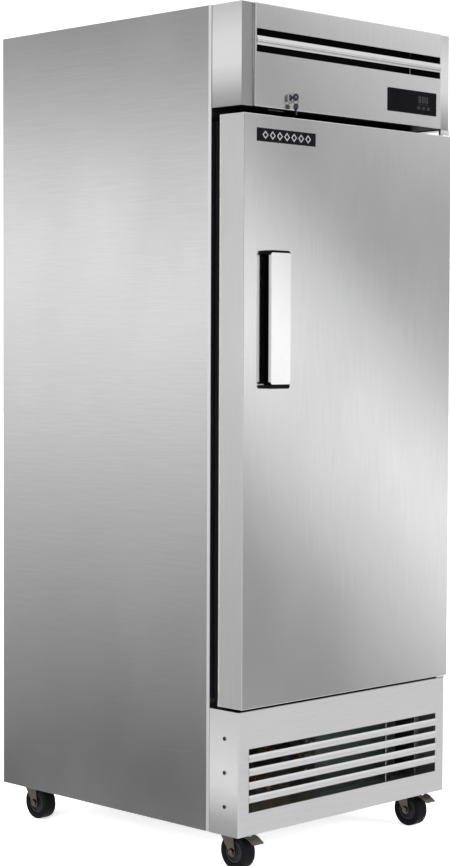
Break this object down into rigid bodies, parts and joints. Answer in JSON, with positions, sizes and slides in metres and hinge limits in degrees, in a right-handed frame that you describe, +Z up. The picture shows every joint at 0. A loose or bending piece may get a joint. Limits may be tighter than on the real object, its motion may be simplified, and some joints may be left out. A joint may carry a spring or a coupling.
{
  "type": "reach in refrigerator",
  "caption": "Tall one-door stainless reach-in refrigerator with a slotted header, a bar handle, a slotted lower grille and swivel casters.",
  "frame": {"origin": "on the floor, under the middle of the bounding box", "axes": "+Z up, the door faces -Y, +X to the right as seen from the front, on the hinge side"},
  "size_m": [0.6892, 0.817, 1.842],
  "materials": {
    "stainless": "satin",
    "side_sheet": "satin",
    "key_nickel": "satin",
    "polished_steel": "polished",
    "galvanised": "matte",
    "liner_aluminium": "satin",
    "coil_fins": "satin",
    "foam": "matte",
    "breaker_plastic": "satin",
    "gasket_rubber": "matte",
    "black_plastic": "satin",
    "display_gloss": "gloss",
    "badge_black": "satin",
    "button_grey": "satin",
    "compressor_paint": "satin",
    "copper": "satin",
    "lamp_diffuser": "satin",
    "shelf_coating": "satin",
    "bush_plastic": "satin",
    "caster_zinc": "satin",
    "caster_tyre": "matte"
  },
  "bodies": {
    "cabinet": {"header_panel": "stainless", "header_cheeks": "stainless", "grille_panel": "stainless", "grille_cheeks": "stainless", "side_panel_left": "side_sheet", "side_panel_right": "side_sheet", "top_panel": "side_sheet", "hinge_bracket_top": "polished_steel", "hinge_bracket_bottom": "polished_steel", "fasteners": "polished_steel", "lock_housing": "polished_steel", "back_panel": "galvanised", "base_frame": "galvanised", "condenser_fan_shroud": "galvanised", "electrical_box": "galvanised", "shelf_rails": "galvanised", "inner_liner": "liner_aluminium", "evaporator_housing": "liner_aluminium", "drain_pan": "liner_aluminium", "evaporator_coil": "coil_fins", "condenser_coil": "coil_fins", "insulation_foam": "foam", "breaker_frame": "breaker_plastic", "header_baffle": "black_plastic", "controller_case": "black_plastic", "power_inlet": "black_plastic", "controller_lens": "display_gloss", "compressor": "compressor_paint", "condenser_fan_motor": "compressor_paint", "evaporator_fan_motor": "compressor_paint", "refrigerant_lines": "copper", "interior_lamp": "lamp_diffuser", "shelves": "shelf_coating", "caster_plates": "caster_zinc"},
    "door": {"door_skin": "stainless", "door_foam": "foam", "door_inner_panel": "liner_aluminium", "door_gasket": "gasket_rubber", "door_badge": "badge_black", "handle_bracket": "black_plastic", "handle_grip": "polished_steel", "hinge_bushes": "bush_plastic"},
    "lock_core": {"lock_plug": "key_nickel", "key": "key_nickel"},
    "spare_key": {"spare_key": "key_nickel"},
    "condenser_fan": {"condenser_fan_blade": "black_plastic"},
    "evaporator_fan": {"evaporator_fan_blade": "black_plastic"},
    "button_set": {"button_set": "button_grey"},
    "button_up": {"button_up": "button_grey"},
    "button_down": {"button_down": "button_grey"},
    "fork_front_left": {"caster_fork_front_left": "caster_zinc"},
    "wheel_front_left": {"caster_wheel_front_left": "caster_tyre"},
    "pedal_front_left": {"brake_pedal_front_left": "caster_zinc"},
    "fork_front_right": {"caster_fork_front_right": "caster_zinc"},
    "wheel_front_right": {"caster_wheel_front_right": "caster_tyre"},
    "pedal_front_right": {"brake_pedal_front_right": "caster_zinc"},
    "fork_back_left": {"caster_fork_back_left": "caster_zinc"},
    "wheel_back_left": {"caster_wheel_back_left": "caster_tyre"},
    "fork_back_right": {"caster_fork_back_right": "caster_zinc"},
    "wheel_back_right": {"caster_wheel_back_right": "caster_tyre"}
  },
  "joints": [
    {"name": "door_hinge", "type": "hinge", "parent": "cabinet", "child": "door", "pos_m": [0.329, -0.3665, 0.98275], "axis": [0, 0, 1], "range_deg": [0, 110]},
    {"name": "lock_turn", "type": "hinge", "parent": "cabinet", "child": "lock_core", "pos_m": [-0.196, -0.3585, 1.652], "axis": [0, -1, 0], "range_deg": [0, 90]},
    {"name": "spare_key_swing", "type": "hinge", "parent": "lock_core", "child": "spare_key", "pos_m": [-0.196, -0.397, 1.652], "axis": [1, 0, 0], "range_deg": [-60, 3]},
    {"name": "condenser_fan_spin", "type": "hinge", "parent": "cabinet", "child": "condenser_fan", "pos_m": [0.16, -0.1925, 0.2045], "axis": [0, 1, 0], "continuous": true},
    {"name": "evaporator_fan_spin", "type": "hinge", "parent": "cabinet", "child": "evaporator_fan", "pos_m": [0, -0.1495, 1.6845], "axis": [0, 1, 0], "continuous": true},
    {"name": "press_set", "type": "slide", "parent": "cabinet", "child": "button_set", "axis": [0, 1, 0], "range_m": [0, 0.0012], "stiffness_N_per_m": 900},
    {"name": "press_up", "type": "slide", "parent": "cabinet", "child": "button_up", "axis": [0, 1, 0], "range_m": [0, 0.0012], "stiffness_N_per_m": 900},
    {"name": "press_down", "type": "slide", "parent": "cabinet", "child": "button_down", "axis": [0, 1, 0], "range_m": [0, 0.0012], "stiffness_N_per_m": 900},
    {"name": "swivel_front_left", "type": "hinge", "parent": "cabinet", "child": "fork_front_left", "pos_m": [-0.289, -0.2965, 0.091], "axis": [0, 0, 1], "continuous": true},
    {"name": "roll_front_left", "type": "hinge", "parent": "fork_front_left", "child": "wheel_front_left", "pos_m": [-0.289, -0.3245, 0.038], "axis": [1, 0, 0], "continuous": true},
    {"name": "brake_front_left", "type": "hinge", "parent": "fork_front_left", "child": "pedal_front_left", "pos_m": [-0.289, -0.3185, 0.084], "axis": [1, 0, 0], "range_deg": [0, 9]},
    {"name": "swivel_front_right", "type": "hinge", "parent": "cabinet", "child": "fork_front_right", "pos_m": [0.289, -0.2965, 0.091], "axis": [0, 0, 1], "continuous": true},
    {"name": "roll_front_right", "type": "hinge", "parent": "fork_front_right", "child": "wheel_front_right", "pos_m": [0.289, -0.3245, 0.038], "axis": [1, 0, 0], "continuous": true},
    {"name": "brake_front_right", "type": "hinge", "parent": "fork_front_right", "child": "pedal_front_right", "pos_m": [0.289, -0.3185, 0.084], "axis": [1, 0, 0], "range_deg": [0, 9]},
    {"name": "swivel_back_left", "type": "hinge", "parent": "cabinet", "child": "fork_back_left", "pos_m": [-0.289, 0.3635, 0.091], "axis": [0, 0, 1], "continuous": true},
    {"name": "roll_back_left", "type": "hinge", "parent": "fork_back_left", "child": "wheel_back_left", "pos_m": [-0.289, 0.3355, 0.038], "axis": [1, 0, 0], "continuous": true},
    {"name": "swivel_back_right", "type": "hinge", "parent": "cabinet", "child": "fork_back_right", "pos_m": [0.289, 0.3635, 0.091], "axis": [0, 0, 1], "continuous": true},
    {"name": "roll_back_right", "type": "hinge", "parent": "fork_back_right", "child": "wheel_back_right", "pos_m": [0.289, 0.3355, 0.038], "axis": [1, 0, 0], "continuous": true}
  ]
}
